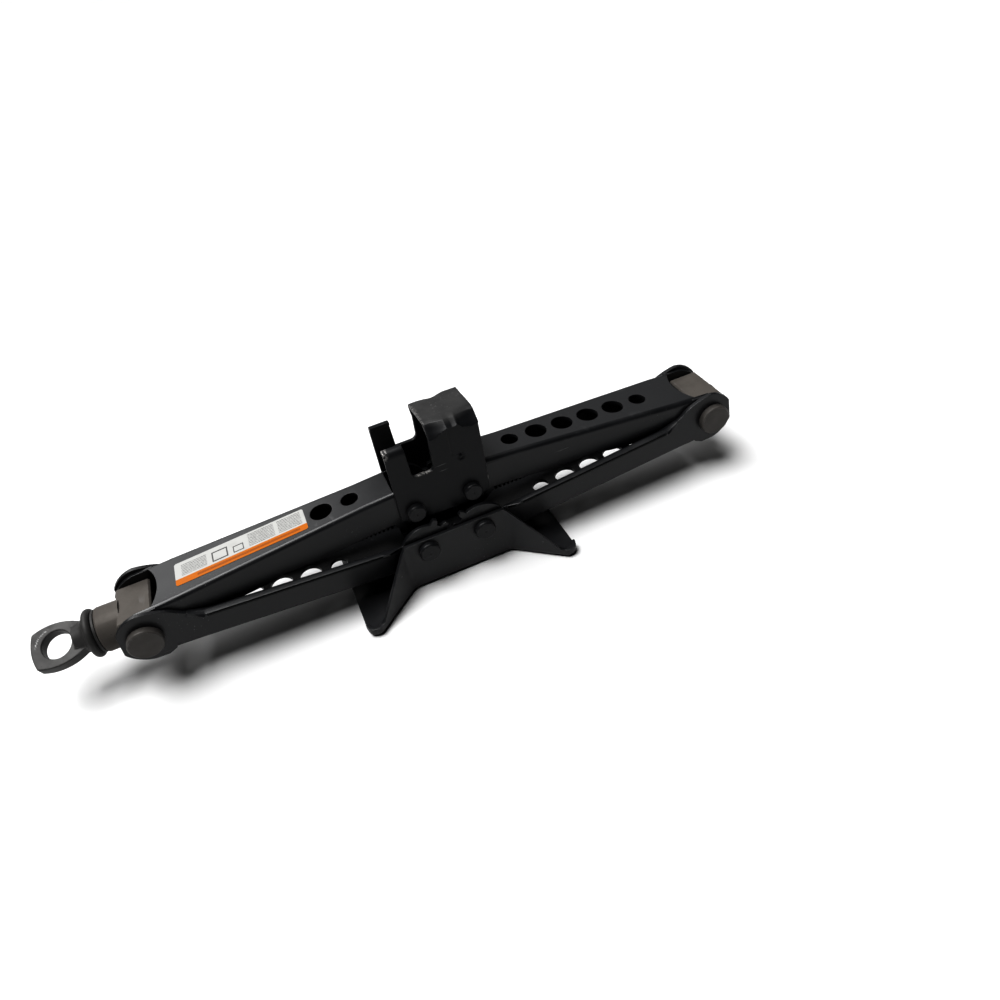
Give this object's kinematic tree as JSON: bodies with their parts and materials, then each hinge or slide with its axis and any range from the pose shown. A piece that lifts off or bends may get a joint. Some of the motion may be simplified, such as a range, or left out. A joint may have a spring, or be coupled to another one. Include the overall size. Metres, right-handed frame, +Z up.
{
  "type": "scissor jack",
  "caption": "Collapsed scissor jack: two pairs of pressed channel arms on a flared base plate, a slotted saddle, and a lifting screw with a forged eye.",
  "frame": {"origin": "middle of the base plate's underside", "axes": "+X along the lifting screw from the eye towards the nut, +Z up, hinge pins along Y"},
  "size_m": [0.478, 0.1082, 0.113],
  "materials": {
    "arm_paint": "satin black paint",
    "base_paint": "satin black paint",
    "phosphated_block": "phosphated grey steel",
    "pin_steel": "phosphated pin head",
    "rivet_steel": "black painted rivet",
    "screw_steel": "oiled dark steel",
    "bush_bronze": "plain bearing bronze",
    "label_film": "white and orange film"
  },
  "bodies": {
    "base": {"base_plate": "base_paint", "base_rivet_left": "rivet_steel", "base_rivet_right": "rivet_steel"},
    "lower_arm_left": {"lower_arm_left": "arm_paint"},
    "lower_arm_right": {"lower_arm_right": "arm_paint"},
    "upper_arm_left": {"upper_arm_left": "arm_paint", "warning_label": "label_film"},
    "upper_arm_right": {"upper_arm_right": "arm_paint"},
    "saddle": {"saddle_bracket": "arm_paint", "saddle_rivet_left": "rivet_steel", "saddle_rivet_right": "rivet_steel"},
    "bearing_trunnion": {"bearing_trunnion": "phosphated_block", "bearing_pin_near": "pin_steel", "bearing_pin_far": "pin_steel", "bearing_bush": "bush_bronze"},
    "nut_trunnion": {"nut_trunnion": "phosphated_block", "nut_pin_near": "pin_steel", "nut_pin_far": "pin_steel"},
    "screw": {"lifting_screw": "screw_steel", "forged_eye": "screw_steel", "thrust_washer": "screw_steel", "stop_collar": "screw_steel", "stop_pin": "screw_steel"}
  },
  "joints": [
    {"name": "lift", "type": "hinge", "parent": "base", "child": "lower_arm_left", "pos_m": [-0.0195, 0, 0.0295], "axis": [0, 1, 0], "range_deg": [0, 50]},
    {"name": "left_trunnion_pins", "type": "hinge", "parent": "lower_arm_left", "child": "bearing_trunnion", "pos_m": [-0.19754, 0, 0.04226], "axis": [0, -1, 0], "range_deg": [0, 50]},
    {"name": "upper_left_knee", "type": "hinge", "parent": "bearing_trunnion", "child": "upper_arm_left", "pos_m": [-0.19754, 0, 0.04226], "axis": [0, -1, 0], "range_deg": [0, 50]},
    {"name": "saddle_left_rivet", "type": "hinge", "parent": "upper_arm_left", "child": "saddle", "pos_m": [-0.0195, 0, 0.05502], "axis": [0, 1, 0], "range_deg": [0, 50]},
    {"name": "base_right_rivet", "type": "hinge", "parent": "base", "child": "lower_arm_right", "pos_m": [0.0195, 0, 0.0295], "axis": [0, -1, 0], "range_deg": [0, 50]},
    {"name": "right_trunnion_pins", "type": "hinge", "parent": "lower_arm_right", "child": "nut_trunnion", "pos_m": [0.19754, 0, 0.04226], "axis": [0, 1, 0], "range_deg": [0, 50]},
    {"name": "upper_right_knee", "type": "hinge", "parent": "nut_trunnion", "child": "upper_arm_right", "pos_m": [0.19754, 0, 0.04226], "axis": [0, 1, 0], "range_deg": [0, 50]},
    {"name": "screw_spin", "type": "hinge", "parent": "bearing_trunnion", "child": "screw", "pos_m": [-0.19754, 0, 0.04226], "axis": [1, 0, 0], "range_deg": [0, 17660]}
  ],
  "couplings": [
    {"joint": "left_trunnion_pins", "follows": "lift", "ratio": 1},
    {"joint": "upper_left_knee", "follows": "lift", "ratio": 1},
    {"joint": "saddle_left_rivet", "follows": "lift", "ratio": 1},
    {"joint": "base_right_rivet", "follows": "lift", "ratio": 1},
    {"joint": "right_trunnion_pins", "follows": "lift", "ratio": 1},
    {"joint": "upper_right_knee", "follows": "lift", "ratio": 1},
    {"joint": "screw_spin", "follows": "lift", "ratio": 352.2}
  ]
}
